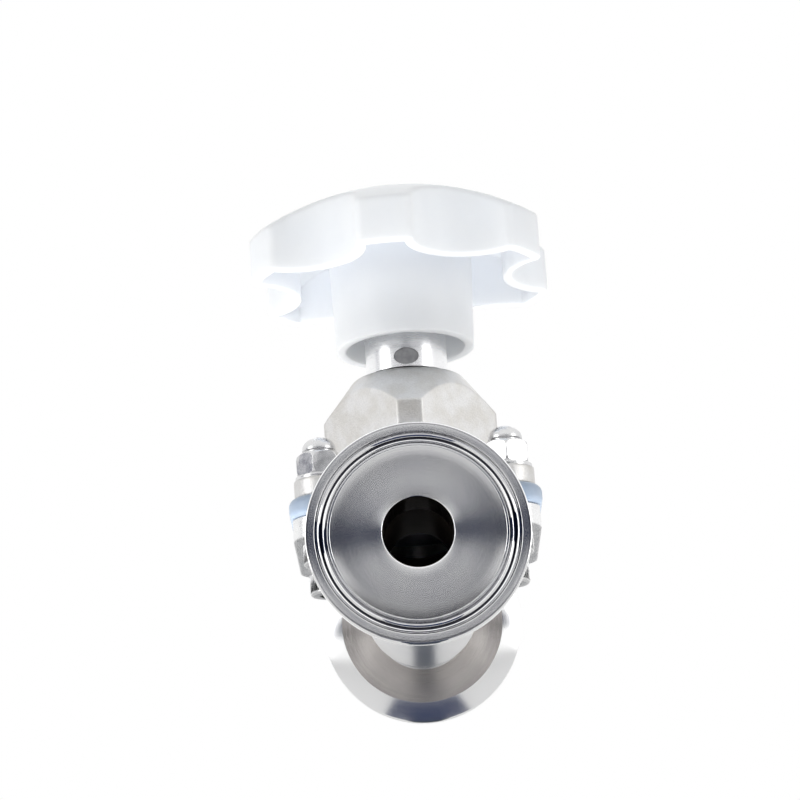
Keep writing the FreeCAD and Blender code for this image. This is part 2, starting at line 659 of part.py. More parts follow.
group("cap_screws", capScrew)
group("nut_washers", washer)
group("cap_nuts", capNut)


# Compressor: guide disc with two lugs, hub for the spindle, and fingers that follow the saddle
def compressor():
    disc = cylinder("CompressorDisc", "compressorRadius", "compressorDisc", z="discFoot")
    hub = cylinder("CompressorHub", "hubRadius", "hubHeight", z="discTop")
    lugs = box("CompressorLugs", "2 * (guideReach - 2 * guideClearance)", "guideWidth - 2 * guideClearance",
               "lugHeight", "-(guideReach - 2 * guideClearance)", "stemY - guideWidth / 2 + guideClearance",
               "discTop - 1")
    barX = box("NoseBarX", "2 * compressorRadius - 2", "2 * fingerHalfWidth", "noseHeight + 1",
               "1 - compressorRadius", "stemY - fingerHalfWidth", "noseFoot")
    curveX = cylinder("NoseCurveX", "noseRadius", "2 * fingerHalfWidth + 2", y="stemY - fingerHalfWidth - 1",
                      z="noseFoot + noseRadius", turn=alongY)
    barY = box("NoseBarY", "2 * fingerHalfWidth", "2 * fingerReach", "noseHeight + 1", "-fingerHalfWidth",
               "stemY - fingerReach", "noseFoot")
    curveY = cylinder("NoseCurveY", "fingerRadius", "2 * fingerHalfWidth + 2", x="-fingerHalfWidth - 1",
                      z="noseFoot + fingerRadius", turn=alongX)
    nose = fuse("Nose", common("NoseX", barX, curveX), common("NoseY", barY, curveY))
    solid = fuse("CompressorSolid", disc, hub, lugs, nose)
    socket = cylinder("SpindleSocket", "spindleRadius + runClearance", "hubHeight", z="discTop + 1")
    studHole = cylinder("StudSocket", "studRadius + runClearance", "studLength + 0.5", z="noseFoot - 0.3")
    pins = [cylinder("PinHole%d" % i, "pinRadius + 0.02", "pinLength + 4", x="-pinLength / 2 - 2",
                     y="stemY + pinOffset * %d" % i, z="pinHeight", turn=alongX) for i in (-1, 1)]
    return finish(cut("Compressor", solid, socket, studHole, *pins), "compressor")


compressor()
pins = [cylinder("Pin%d" % i, "pinRadius", "pinLength", x="-pinLength / 2",
                 y="stemY + pinOffset * %d" % i, z="pinHeight", turn=alongX) for i in (-1, 1)]
pinGroup = doc.addObject("Part::Compound", "RetainingPins")
pinGroup.Links = pins
finish(pinGroup, "retaining_pins")
thrust = cylinder("ThrustWasher", "spindleRadius - 0.1", "thrustThickness", z="discTop + 1")
finish(thrust, "thrust_washer")


# Spindle: end collar, retaining groove, threaded run, square for the wheel and a threaded end
def spindle():
    body = turned("SpindleTurned", [
        ("0", "0"), ("spindleRadius", "0"), ("spindleRadius", "spindleTip"), ("spindleGroove", "spindleTip"),
        ("spindleGroove", "spindleTip + 2 * pinRadius + 0.2"),
        ("spindleRadius", "spindleTip + 2 * pinRadius + 0.2"),
        ("spindleRadius", "insertTop - 0.3 - spindleFoot"), ("wheelStud", "insertTop - 0.3 - spindleFoot"),
        ("wheelStud", "spindleTop - spindleFoot - 0.5"), ("wheelStud - 0.5", "spindleTop - spindleFoot"),
        ("0", "spindleTop - spindleFoot")])
    place(body, z="spindleFoot")
    sleeveBlock = cylinder("SquareBlank", "2 * spindleRadius", "insertTop - spindleShoulder", z="spindleShoulder")
    core = box("SquareCore", "squareSide", "squareSide", "insertHeight + 10", "-squareSide / 2",
               "stemY - squareSide / 2", "spindleShoulder - 1")
    return finish(cut("Spindle", body, cut("SquareCutter", sleeveBlock, core)), "spindle")


spindle()


# Star shape of the wheel: a disc with a finger scallop between each pair of lobes
def star(name, radius, scallop, foot, height):
    disc = cylinder(name + "Disc", radius, height, z=foot)
    scallops = []
    for i in range(round(size("lobeCount"))):
        angle = "(lobePhase + 180 / lobeCount + 360 / lobeCount * %d) * 1 deg" % i
        scallops.append(cylinder("%sScallop%d" % (name, i), scallop, height, x="scallopOffset * sin(%s)" % angle,
                                 y="stemY - scallopOffset * cos(%s)" % angle, z=foot))
    return cut(name, disc, *scallops)


def crownBall(name, radius):
    ball = doc.addObject("Part::Sphere", name)
    bind(ball, Radius=radius)
    place(ball, z="crownCentre")
    return ball


# Handwheel: domed star shell, open below, with a skirted hub round the neck and a recess for the cap
def handwheel():
    blank = common("WheelBlank", star("WheelStar", "wheelRadius", "scallopRadius", "rimFoot", "wheelCrown"),
                   crownBall("WheelCrownBall", "crownRadius"))
    soft = rounded("WheelLobes", blank, "lobeCorner", upright)
    doc.recompute()
    foot = size("rimFoot")

    def lower(edge):
        return abs(edge.BoundBox.ZMin - foot) < 0.01 and edge.BoundBox.ZLength < 0.01

    def upper(edge):
        return edge.BoundBox.ZMin > foot + 1 and not upright(edge)
    edged = rounded("WheelUpperEdge", soft, "crownEdge", upper)
    shell = rounded("WheelLowerEdge", edged, "rimEdge", lower)
    inside = common("WheelInside",
                    star("WheelInner", "wheelRadius - wheelWall", "scallopRadius + wheelWall", "rimFoot - 1",
                         "wheelCrown"),
                    crownBall("WheelInnerBall", "crownRadius - wheelWeb"))
    skirt = doc.addObject("Part::Cone", "WheelSkirt")
    bind(skirt, Radius1="skirtRadius", Radius2="skirtRadius + skirtDraft", Height="wheelDrop + wheelCrown")
    place(skirt, z="skirtFoot")
    hub = common("WheelHub", skirt, crownBall("WheelHubBall", "crownRadius"))
    solid = fuse("WheelSolid", cut("WheelShell", shell, inside), hub)
    space = cylinder("SkirtSpace", "skirtBore", "skirtDepth", z="skirtFoot")
    pocket = cylinder("InsertPocket", "insertRadius", "insertHeight + insertFloor", z="skirtRoof")
    flange = cylinder("InsertFlangePocket", "insertFlange", "insertFlangeHeight + insertFloor", z="skirtRoof")
    recess = cylinder("CapRecess", "capRadius + capClearance", "wheelCrown", z="insertTop")
    return finish(cut("Handwheel", solid, space, pocket, flange, recess), "handwheel")


handwheel()


def wheelFittings():
    insert = turned("InsertTurned", [("0", "0"), ("insertFlange", "0"), ("insertFlange", "insertFlangeHeight"),
                                     ("insertRadius", "insertFlangeHeight"), ("insertRadius", "insertHeight"),
                                     ("0", "insertHeight")])
    place(insert, z="insertFoot")
    side = "(squareSide + 2 * squareClearance)"
    hole = box("InsertSquare", side, side, "insertHeight + 2", "-%s / 2" % side, "stemY - %s / 2" % side,
               "insertFoot - 1")
    finish(cut("WheelInsert", insert, hole), "wheel_insert")
    finish(ring("WheelWasher", "wheelStud + 0.2", "wheelWasher", "insertTop", "wheelNutSeat"), "wheel_washer")
    hexagon = doc.addObject("Part::Prism", "WheelNutHexagon")
    hexagon.Polygon = 6
    bind(hexagon, Circumradius="wheelNutRadius", Height="wheelNutHeight")
    place(hexagon, z="wheelNutSeat")
    thread = cylinder("WheelNutThread", "wheelStud + threadClearance", "wheelNutHeight", z="wheelNutSeat")
    finish(cut("WheelNut", hexagon, thread), "wheel_nut")
    cap = turned("WheelCap", [("0", "0"), ("capRadius - capWall", "0"), ("capRadius - capWall", "-capSkirt"),
                              ("capRadius", "-capSkirt"), ("capRadius", "capHeight - 0.6"),
                              ("capRadius - 0.6", "capHeight"), ("0", "capHeight")])
    place(cap, z="capSeat")
    finish(cap, "wheel_cap")


wheelFittings()
doc.recompute()

problems = [item.Name for item in doc.Objects if "Invalid" in item.State or "Error" in item.State]
os.makedirs("parts", exist_ok=True)
for item in nodes:
    if item.Shape.isNull() or not item.Shape.isValid():
        problems.append(item.Label)
if problems:
    raise RuntimeError("failed objects: " + ", ".join(problems))
for item in nodes:
    item.Shape.exportStep("parts/%s.step" % item.Label)
    print("%-16s %d solids  %9.1f mm3" % (item.Label, len(item.Shape.Solids), item.Shape.Volume))
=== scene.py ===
# Manual diaphragm valve with clamp ends, dressed for a studio picture. Sizes in metres, in the CAD's frame.
import bpy
import math
from mathutils import Matrix, Vector


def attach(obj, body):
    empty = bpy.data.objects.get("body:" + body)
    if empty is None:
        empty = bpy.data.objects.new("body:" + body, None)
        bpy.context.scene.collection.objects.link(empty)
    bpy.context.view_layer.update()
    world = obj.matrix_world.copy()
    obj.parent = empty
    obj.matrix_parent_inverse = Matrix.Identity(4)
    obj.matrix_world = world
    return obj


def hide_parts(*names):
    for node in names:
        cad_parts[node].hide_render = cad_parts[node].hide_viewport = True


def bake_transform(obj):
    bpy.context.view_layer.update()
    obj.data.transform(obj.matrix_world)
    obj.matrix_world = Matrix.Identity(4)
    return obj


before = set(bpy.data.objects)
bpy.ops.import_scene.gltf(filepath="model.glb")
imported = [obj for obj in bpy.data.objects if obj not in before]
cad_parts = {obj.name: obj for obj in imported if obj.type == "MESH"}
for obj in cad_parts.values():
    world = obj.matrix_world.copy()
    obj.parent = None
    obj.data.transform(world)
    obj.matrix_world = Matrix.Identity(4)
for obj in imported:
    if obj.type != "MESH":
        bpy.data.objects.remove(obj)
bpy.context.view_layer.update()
mm = 0.001
stemPlace = 54
stemAxis = Vector((0, stemPlace * mm, 0))
along = {"x": Vector((1, 0, 0)), "y": Vector((0, 1, 0)), "z": Vector((0, 0, 1))}

# how deep the relief of a surface is at full strength
reliefDepth = {"rings": 0.02 * mm, "waves": 0.3 * mm, "grain": 0.12 * mm, "pebble": 0.03 * mm}
edgeSamples = 6

# turns the stretched sheen across the rings instead of along them
acrossRings = 0.25

# a turned piece is never narrower than this at its axis, in millimetres
pinhole = 0.02
mergeDistance = 2e-7


# camera as in the photograph: nearly level with the inlet, looking a little upwards
cameraLook = {
    "place": (-2.98568 * mm, -629.53602 * mm, -146.27210 * mm),
    "forward": (0.00117784, 0.96279784, 0.27022016),
    "up": (0.06254993, -0.26976214, 0.96089328),
    "lens": 131.14,
    "sensor": 36,
    "reach": (0.01, 50),
}


def addCamera(look):
    data = bpy.data.cameras.new("camera")
    data.sensor_width = look["sensor"]
    data.lens = look["lens"]
    data.clip_start, data.clip_end = look["reach"]
    camera = bpy.data.objects.new("camera", data)
    bpy.context.collection.objects.link(camera)
    back = -Vector(look["forward"]).normalized()
    up = Vector(look["up"]).normalized()
    side = up.cross(back).normalized()
    turn = Matrix((side, up, back)).transposed()
    camera.matrix_world = Matrix.Translation(look["place"]) @ turn.to_4x4()
    bpy.context.scene.camera = camera


# studio: pale floor far below, soft lamps, and a dim room behind the camera that darkens what faces it
studio = {
    "floorLevel": -300 * mm,
    "floorSize": 8,
    "floorColour": (0.93, 0.93, 0.93),
    "floorRoughness": 0.8,
    # upward part of a direction, from -1 for straight down to 1 for straight up, and the light from there
    "skyStrength": [(-1, 0.92), (-0.05, 0.92), (0.25, 0.19), (0.62, 0.22), (0.78, 1.05)],
    "aim": (0, 0.054, 0.04),
    # name, place, size, spread in degrees, power, whether polished metal mirrors it
    "lamps": [
        ("keyLamp", (-2.0, -1.1, 0.5), 1.2, 70, 1.3, True),
        ("fillLamp", (2.0, -1.1, 0.4), 1.2, 70, 1.3, True),
        ("backLamp", (0.2, 1.6, 1.3), 1.4, 180, 1.2, True),
        ("bounceLamp", (-0.03, 0.06, -0.27), 0.8, 180, 4.5, False),
    ],
    # name, middle, size across and up, tilt and turn in degrees, colour, whether it shades the plastic too
    "cards": [
        ("dimRoom", (0, -1.7, 0.445), (7.0, 0.31), (90, 0), (0.012, 0.018, 0.045), True),
        ("photographer", (0, -1.75, -0.04), (0.9, 0.4), (90, 0), (0.02, 0.02, 0.03), False),
        ("tableNear", (0, -1.2, -0.29), (0.6, 0.9), (0, 0), (0.03, 0.03, 0.04), False),
        ("tableEdge", (0, -0.37, -0.29), (0.36, 0.36), (0, 0), (0.04, 0.05, 0.1), False),
        ("tableStrip", (0, 0.6, -0.29), (0.15, 1.6), (0, 0), (0.06, 0.07, 0.09), False),
        ("sideLight", (-0.6, 0.04, 0.175), (0.12, 0.07), (90, 90), (0.04, 0.05, 0.12), False),
    ],
}


# white to the camera and to mirrors; what it lights gets a bright table, dim sides and a bright zenith
def addSky(look):
    world = bpy.data.worlds.new("studioSky")
    bpy.context.scene.world = world
    world.use_nodes = True
    tree = world.node_tree
    rays = node(tree, "LightPath").outputs
    seen = node(tree, "Math", {"operation": "MAXIMUM"}, _0=rays["Is Camera Ray"], _1=rays["Is Glossy Ray"])
    white = node(tree, "Math", {"operation": "MAXIMUM"}, _0=seen.outputs[0], _1=rays["Is Transmission Ray"])
    upward = node(tree, "SeparateXYZ", _0=node(tree, "TexCoord").outputs["Generated"]).outputs["Z"]
    ramp = node(tree, "ValToRGB", _0=spread(tree, upward, 0, 1, -1, 1))
    for i, (level, light) in enumerate(look["skyStrength"]):
        stop = ramp.color_ramp.elements[i] if i < 2 else ramp.color_ramp.elements.new(1)
        stop.position = (level + 1) / 2
        stop.color = (light, light, light, 1)
    strength = node(tree, "MapRange", Value=white.outputs[0], To_Min=ramp.outputs["Color"], To_Max=1.0)
    background = tree.nodes["Background"]
    background.inputs["Color"].default_value = (1, 1, 1, 1)
    tree.links.new(strength.outputs["Result"], background.inputs["Strength"])


def addFloor(look):
    nothingSelected()
    bpy.ops.mesh.primitive_plane_add(size=look["floorSize"], location=(0, 0, look["floorLevel"]))
    floor = bpy.context.object
    floor.name = "floor"
    material, tree, shader = newPaint("floorPaint")
    shader.inputs["Base Color"].default_value = (*look["floorColour"], 1)
    shader.inputs["Roughness"].default_value = look["floorRoughness"]
    paint(floor, material)


def addLamp(aim, name, place, size, beam, power, mirrored):
    data = bpy.data.lights.new(name, "AREA")
    data.shape = "DISK"
    data.size = size
    data.spread = math.radians(beam)
    data.energy = power
    lamp = bpy.data.objects.new(name, data)
    bpy.context.collection.objects.link(lamp)
    lamp.location = place
    lamp.rotation_euler = (Vector(aim) - Vector(place)).to_track_quat("-Z", "Y").to_euler()
    lamp.visible_camera = False
    lamp.visible_glossy = mirrored


# a card that the camera doesn't see, mirrored in the metal
def addCard(name, place, size, angles, colour, shades):
    tilt, turn = [math.radians(angle) for angle in angles]
    nothingSelected()
    bpy.ops.mesh.primitive_plane_add(size=1, location=place, rotation=(tilt, 0, turn))
    card = bpy.context.object
    card.name = name
    card.scale = (*size, 1)
    card.visible_camera = False
    card.visible_diffuse = shades
    card.visible_shadow = False
    card.visible_transmission = False
    material, tree, shader = newPaint(name + "Paint")
    tree.nodes.clear()
    glow = node(tree, "Emission", Color=(*colour, 1))
    node(tree, "OutputMaterial", Surface=glow.outputs[0])
    paint(card, material)


def addStudio(look):
    bpy.context.scene.view_settings.view_transform = "Standard"
    addSky(look)
    addFloor(look)
    for lamp in look["lamps"]:
        addLamp(look["aim"], *lamp)
    for card in look["cards"]:
        addCard(*card)


def paint(piece, *materials):
    piece.data.materials.clear()
    for material in materials:
        piece.data.materials.append(material)


def newPaint(name):
    material = bpy.data.materials.new(name)
    material.use_nodes = True
    return material, material.node_tree, material.node_tree.nodes["Principled BSDF"]


# one shader node with its settings; an input is given by name or as _ and its number, as a value or a link
def node(tree, kind, settings=None, **inputs):
    made = tree.nodes.new("ShaderNode" + kind)
    for name, value in (settings or {}).items():
        setattr(made, name, value)
    for name, value in inputs.items():
        socket = made.inputs[int(name[1:])] if name[1:].isdigit() else made.inputs[name.replace("_", " ")]
        if isinstance(value, bpy.types.NodeSocket):
            tree.links.new(value, socket)
        else:
            socket.default_value = value
    return made


def noise(tree, where, scale, detail):
    return node(tree, "TexNoise", Vector=where, Scale=scale, Detail=detail).outputs[0]


def spread(tree, value, low, high, fromLow=0.3, fromHigh=0.7):
    made = node(tree, "MapRange", _0=value, _1=fromLow, _2=fromHigh, _3=low, _4=high)
    return made.outputs["Result"]


def tinted(tree, value, first, second):
    ramp = node(tree, "ValToRGB", _0=value)
    for stop, position, colour in zip(ramp.color_ramp.elements, (0.35, 0.65), (first, second)):
        stop.position = position
        stop.color = (*colour, 1)
    return ramp.outputs["Color"]


# distance from a turning axis through the given point
def turningRadius(tree, where, axis, centre):
    moved = node(tree, "VectorMath", {"operation": "SUBTRACT"}, _0=where, _1=centre).outputs[0]
    keep = [0.0 if name == axis else 1.0 for name in "xyz"]
    flat = node(tree, "VectorMath", {"operation": "MULTIPLY"}, _0=moved, _1=keep).outputs[0]
    return node(tree, "VectorMath", {"operation": "LENGTH"}, _0=flat).outputs["Value"]


# colours or greys that change at the given distances from the axis, in metres
def steps(tree, radius, reach, stops):
    share = node(tree, "Math", {"operation": "DIVIDE"}, _0=radius, _1=reach).outputs[0]
    ramp = node(tree, "ValToRGB", _0=share)
    bands = ramp.color_ramp
    bands.interpolation = "CONSTANT"
    for i, (start, colour) in enumerate(stops):
        stop = bands.elements[0] if i == 0 else bands.elements.new(start / reach)
        stop.position = start / reach
        stop.color = (*colour, 1) if isinstance(colour, tuple) else (colour, colour, colour, 1)
    bands.elements.remove(bands.elements[-1])
    return ramp.outputs["Color"]


# turned and polished steel: fine rings round the axis, a sheen stretched across them, faint smears, and where
# a finish lists them, painted shade and painted highlights in bands by radius
def turnedSteel(name, look, axis, centre=(0, 0, 0)):
    material, tree, shader = newPaint(name)
    shader.inputs["Metallic"].default_value = 1
    shader.inputs["Anisotropic"].default_value = look["stretch"]
    shader.inputs["Anisotropic Rotation"].default_value = acrossRings
    where = node(tree, "TexCoord").outputs["Object"]
    radius = turningRadius(tree, where, axis, centre)
    height = node(tree, "SeparateXYZ", _0=where).outputs["xyz".index(axis)]
    path = node(tree, "CombineXYZ", _0=radius, _1=height).outputs[0]
    rings = noise(tree, path, look["ringScale"], 4)
    smears = noise(tree, where, look["smearScale"], 3)
    colour = tinted(tree, smears, look["colour"], look["smearColour"])
    # painted shade, painted highlights and painted reflections, as bands by radius multiplied into the colour
    if "paintedLight" in look:
        paintedLightBand = steps(tree, radius, look["zoneReach"], look["paintedLight"])
        mixing = {"data_type": "RGBA", "blend_type": "MULTIPLY", "clamp_result": True}
        colour = node(tree, "Mix", mixing, _0=1.0, _6=colour, _7=paintedLightBand).outputs[2]
    tree.links.new(colour, shader.inputs["Base Color"])
    both = node(tree, "Math", {"operation": "MULTIPLY_ADD"}, _0=smears, _1=0.5, _2=rings).outputs[0]
    rough = spread(tree, both, *look["roughness"], 0.5, 1.0)
    if "zones" in look:
        zone = steps(tree, radius, look["zoneReach"], look["zones"])
        rough = node(tree, "Math", {"operation": "MULTIPLY"}, _0=rough, _1=zone).outputs[0]
    tree.links.new(rough, shader.inputs["Roughness"])
    bump = node(tree, "Bump", Strength=look["ringDepth"], Distance=reliefDepth["rings"], Height=rings)
    tree.links.new(bump.outputs[0], shader.inputs["Normal"])
    tangent = node(tree, "Tangent", {"direction_type": "RADIAL", "axis": axis.upper()})
    tree.links.new(tangent.outputs[0], shader.inputs["Tangent"])
    return material


# cast or blasted steel: fine grain over soft waves, edges rounded by the casting
def castSteel(name, look):
    material, tree, shader = newPaint(name)
    shader.inputs["Metallic"].default_value = 1
    where = node(tree, "TexCoord").outputs["Object"]
    grain = noise(tree, where, look["grainScale"], 5)
    waves = noise(tree, where, look["waveScale"], 2)
    pits = spread(tree, grain, 1 - look["speckle"], 1, 0.35, 0.6)
    cloudy = tinted(tree, waves, look["colour"], look["waveColour"])
    colour = node(tree, "VectorMath", {"operation": "SCALE"}, Scale=pits, _0=cloudy).outputs[0]
    tree.links.new(colour, shader.inputs["Base Color"])
    tree.links.new(spread(tree, grain, *look["roughness"]), shader.inputs["Roughness"])
    edge = node(tree, "Bevel", {"samples": edgeSamples}, Radius=look["edge"])
    wavy = node(tree, "Bump", Strength=look["waveDepth"], Distance=reliefDepth["waves"], Height=waves,
                Normal=edge.outputs[0])
    grainy = node(tree, "Bump", Strength=look["grainDepth"], Distance=reliefDepth["grain"], Height=grain,
                  Normal=wavy.outputs[0])
    tree.links.new(grainy.outputs[0], shader.inputs["Normal"])
    return material


# moulded plastic or rubber: faint mottling in colour and gloss over a fine pebble, a little light inside
def moulded(name, look):
    material, tree, shader = newPaint(name)
    shader.inputs["Subsurface Weight"].default_value = look["depthWeight"]
    shader.inputs["Subsurface Radius"].default_value = (1, 1, 1)
    shader.inputs["Subsurface Scale"].default_value = look["depth"]
    shader.inputs["Specular IOR Level"].default_value = look["gloss"]
    where = node(tree, "TexCoord").outputs["Object"]
    mottle = noise(tree, where, look["mottleScale"], 3)
    pebble = noise(tree, where, look["pebbleScale"], 3)
    tree.links.new(tinted(tree, mottle, look["colour"], look["mottleColour"]), shader.inputs["Base Color"])
    tree.links.new(spread(tree, mottle, *look["roughness"]), shader.inputs["Roughness"])
    edge = node(tree, "Bevel", {"samples": edgeSamples}, Radius=look["edge"])
    bump = node(tree, "Bump", Strength=look["pebbleDepth"], Distance=reliefDepth["pebble"], Height=pebble,
                Normal=edge.outputs[0])
    tree.links.new(bump.outputs[0], shader.inputs["Normal"])
    return material


def nothingSelected():
    if bpy.context.object and bpy.context.object.mode != "OBJECT":
        bpy.ops.object.mode_set(mode="OBJECT")
    bpy.ops.object.select_all(action="DESELECT")


def onlySelected(piece):
    nothingSelected()
    piece.select_set(True)
    bpy.context.view_layer.objects.active = piece


# placed where its mesh says, shaded smooth but for edges sharper than the given angle
def settle(piece, angle=32):
    onlySelected(piece)
    bpy.ops.object.transform_apply(location=True, rotation=True, scale=True)
    bpy.ops.object.shade_smooth_by_angle(angle=math.radians(angle))
    return piece


# boolean with another piece, which is used up unless it is kept for one more cut
def cutWith(piece, operation, tool, keep=False):
    onlySelected(piece)
    made = piece.modifiers.new("Boolean", "BOOLEAN")
    made.operation = operation
    made.object = tool
    made.solver = "EXACT"
    bpy.ops.object.modifier_apply(modifier=made.name)
    if not keep:
        bpy.data.objects.remove(tool)


# points of an arc in a profile, angles in degrees from outwards towards up
def arc(radius, height, bend, first, last, parts):
    turns = [math.radians(first + (last - first) * i / parts) for i in range(parts + 1)]
    return [(radius + bend * math.cos(a), height + bend * math.sin(a)) for a in turns]


# turned piece: a circle pulled from point to point of its profile of (radius, height) in millimetres
def turnPiece(name, profile, axis="z", centre=(0, 0, 0), count=128, closed=True):
    if closed:
        profile = profile + [profile[0]]
    middle = Vector(centre) * mm
    way = along[axis]
    tilt = (math.radians(-90), 0, 0) if axis == "y" else (0, 0, 0)
    radius, height = max(profile[0][0], pinhole), profile[0][1]
    nothingSelected()
    bpy.ops.mesh.primitive_circle_add(vertices=count, radius=radius * mm, rotation=tilt,
                                      location=middle + way * height * mm)
    piece = bpy.context.object
    piece.name = name
    bpy.ops.object.transform_apply(location=True, rotation=True, scale=True)
    bpy.ops.object.mode_set(mode="EDIT")
    bpy.ops.mesh.select_all(action="SELECT")
    for nextRadius, nextHeight in profile[1:]:
        step = way * (nextHeight - height) * mm
        bpy.ops.mesh.extrude_region_move(TRANSFORM_OT_translate={"value": step})
        nextRadius = max(nextRadius, pinhole)
        grow = nextRadius / radius
        value = [1 if letter == axis else grow for letter in "xyz"]
        bpy.ops.transform.resize(value=value, center_override=middle + way * nextHeight * mm)
        radius, height = nextRadius, nextHeight
    bpy.ops.mesh.select_all(action="SELECT")
    bpy.ops.mesh.remove_doubles(threshold=mergeDistance)
    bpy.ops.mesh.fill_holes(sides=0)
    bpy.ops.mesh.select_all(action="SELECT")
    bpy.ops.mesh.normals_make_consistent(inside=False)
    bpy.ops.object.mode_set(mode="OBJECT")
    return settle(piece)


def finishPiece(piece, material, body, *nodes):
    paint(piece, material)
    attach(piece, body)
    if nodes:
        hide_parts(*nodes)


print("stage: camera and studio")
addCamera(cameraLook)
addStudio(studio)

print("stage: ferrules")
# bore, step, gasket groove, land and rim each have their own polish by radius, with painted shade, painted
# highlights and painted reflections in bands by radius
ferruleFinishAndPaintedLight = {
    "colour": (0.84, 0.84, 0.855), "smearColour": (0.89, 0.89, 0.89),
    "roughness": (0.17, 0.21), "stretch": 0.95, "ringScale": 9000, "ringDepth": 0.05, "smearScale": 90,
    "zoneReach": 30 * mm,
    "zones": [(0, 1.0), (19.5 * mm, 0.5), (19.9 * mm, 0.9), (20.15 * mm, 0.3), (23.2 * mm, 1.0),
              (24.9 * mm, 0.5)],
    # painted light in bands by radius: painted shade inside the bore and in the groove, painted highlights at
    # the edges of the bore, step, groove and rim, and a darkening across the face as a painted reflection
    "paintedLight": [
        (0, (0.12, 0.10, 0.09)), (8.05 * mm, (1.3, 1.3, 1.3)), (8.45 * mm, (1, 1, 1)),
        *[((13 + i) * mm, (0.97 - 0.035 * i,) * 3) for i in range(7)],
        (19.6 * mm, (1.25, 1.25, 1.25)), (19.95 * mm, (0.8, 0.8, 0.82)), (20.2 * mm, (0.7, 0.7, 0.72)),
        (20.75 * mm, (1.3, 1.3, 1.3)), (21.4 * mm, (0.09, 0.09, 0.11)), (22.0 * mm, (1.2, 1.2, 1.2)),
        (23.2 * mm, (1, 1, 1)), (24.6 * mm, (0.6, 0.6, 0.62)), (24.85 * mm, (1.35, 1.35, 1.35)),
    ],
}
# the back face has its own painted light by radius: painted shade inside the bore, a painted highlight at the
# bore's edge, a darker brownish painted reflection across the face and a painted highlight at the rim
ferruleBackFinishAndPaintedLight = dict(
    ferruleFinishAndPaintedLight, stretch=0.6, roughness=(0.2, 0.3),
    zones=[(0, 1.0), (20.4 * mm, 0.7)],
    paintedLight=[(0, (0.12, 0.10, 0.09)), (8.15 * mm, (1.15, 1.15, 1.15)), (12.0 * mm, (0.74, 0.70, 0.67)),
           (20.4 * mm, (1.3, 1.32, 1.35))])
ferruleSteel = turnedSteel("inletFerruleSteel", ferruleFinishAndPaintedLight, "y")

# clamp ferrule: bore with rounded edge, face, fine step, gasket groove, land, rim, clamp bevel, neck
ferruleShape = {
    "bore": 8.0, "boreRound": 0.3, "boreRings": (6, 1), "tube": 9.5, "length": 12.0,
    "faceRings": (11, 14, 17), "stepRadius": 19.6, "stepLead": (0.08, 0.02), "stepFoot": (0.14, 0.12),
    "grooveRadius": 21.7, "grooveSection": 1.35, "lipReach": 0.2, "lipRound": 0.15,
    "rim": 25.25, "rimWidth": 2.85, "rimRound": 0.35, "bevel": 20, "bevelRound": 0.3,
    "backRadius": 20.4, "backIn": 0.1, "backRing": 16, "backFrom": 105.3, "neckRound": 2.5, "faceToFace": 108,
}


def ferruleProfile(look):
    bore, rim, back, neck = look["bore"], look["rim"], look["backRadius"], look["neckRound"]
    backHeight = look["rimWidth"] + (rim - back) * math.tan(math.radians(look["bevel"]))
    edge, bevelEdge = look["rimRound"], look["bevelRound"]
    points = [(bore, look["length"])] + [(bore, height) for height in look["boreRings"]]
    points += arc(bore + look["boreRound"], look["boreRound"], look["boreRound"], 180, 270, 4)
    points += [(radius, 0) for radius in look["faceRings"]]
    step, depth = look["stepRadius"], look["stepFoot"][1]
    points += [(step + outward, down) for outward, down in ((0, 0), look["stepLead"], look["stepFoot"])]
    groove, section, lip = look["grooveRadius"], look["grooveSection"], look["lipRound"]
    points += arc(groove - section - look["lipReach"], depth + lip, lip, 270, 345, 4)
    points += arc(groove, depth + lip, section, 172, 8, 24)
    points += arc(groove + section + look["lipReach"], lip, lip, 195, 270, 4)
    points += arc(rim - edge, edge, edge, 270, 360, 5)
    points += arc(rim - bevelEdge, look["rimWidth"] - bevelEdge, bevelEdge, 0, 70, 4)
    points += arc(back + look["backIn"], backHeight - edge, bevelEdge, 70, 90, 2)
    points += [(look["backRing"], backHeight)]
    points += arc(look["tube"] + neck, backHeight + neck, neck, 270, 180, 8)
    points += [(look["tube"], look["length"])]
    return points


inletProfile = ferruleProfile(ferruleShape)
inlet = turnPiece("inletFerrule", inletProfile, "y", (0, 0, 0), 192)
finishPiece(inlet, ferruleSteel, "valve", "inlet_ferrule")

# the outlet's clamp bevel and neck face the camera, so they have a paint of their own, with its own painted
# shade and painted highlights by radius
outletPlace = (0, ferruleShape["faceToFace"], 0)
outletProfile = [(radius, -height) for radius, height in inletProfile]
outlet = turnPiece("outletFerrule", outletProfile, "y", outletPlace, 192)
outletBackPaintedLightSteel = turnedSteel("outletBackPaintedLightSteel", ferruleBackFinishAndPaintedLight, "y", Vector(outletPlace) * mm)
finishPiece(outlet, ferruleSteel, "valve", "outlet_ferrule")
paint(outlet, ferruleSteel, outletBackPaintedLightSteel)
for face in outlet.data.polygons:
    face.material_index = 1 if face.center.y < ferruleShape["backFrom"] * mm else 0

print("stage: fasteners")
fastenerFinish = {
    "colour": (0.70, 0.70, 0.71), "waveColour": (0.78, 0.78, 0.78), "roughness": (0.18, 0.3), "speckle": 0.06,
    "grainScale": 420, "grainDepth": 0.01, "waveScale": 150, "waveDepth": 0.01, "edge": 0.15 * mm,
}
fastenerSteel = castSteel("fastenerSteel", fastenerFinish)
boltSpacing = (22, 17)


# a copy at each of the four bolts, with its own mesh, turned in degrees as it was tightened
def atBolts(pattern, name, height, turns, replaced):
    for (i, j), turn in turns.items():
        piece = pattern.copy()
        piece.data = pattern.data.copy()
        piece.name = "%s%d%d" % (name, i + 1, j + 1)
        bpy.context.collection.objects.link(piece)
        place = (boltSpacing[0] * i * mm, (stemPlace + boltSpacing[1] * j) * mm, height * mm)
        piece.data.transform(Matrix.Translation(place) @ Matrix.Rotation(math.radians(turn), 4, "Z"))
        finishPiece(piece, fastenerSteel, "valve", replaced)
    bpy.data.objects.remove(pattern)


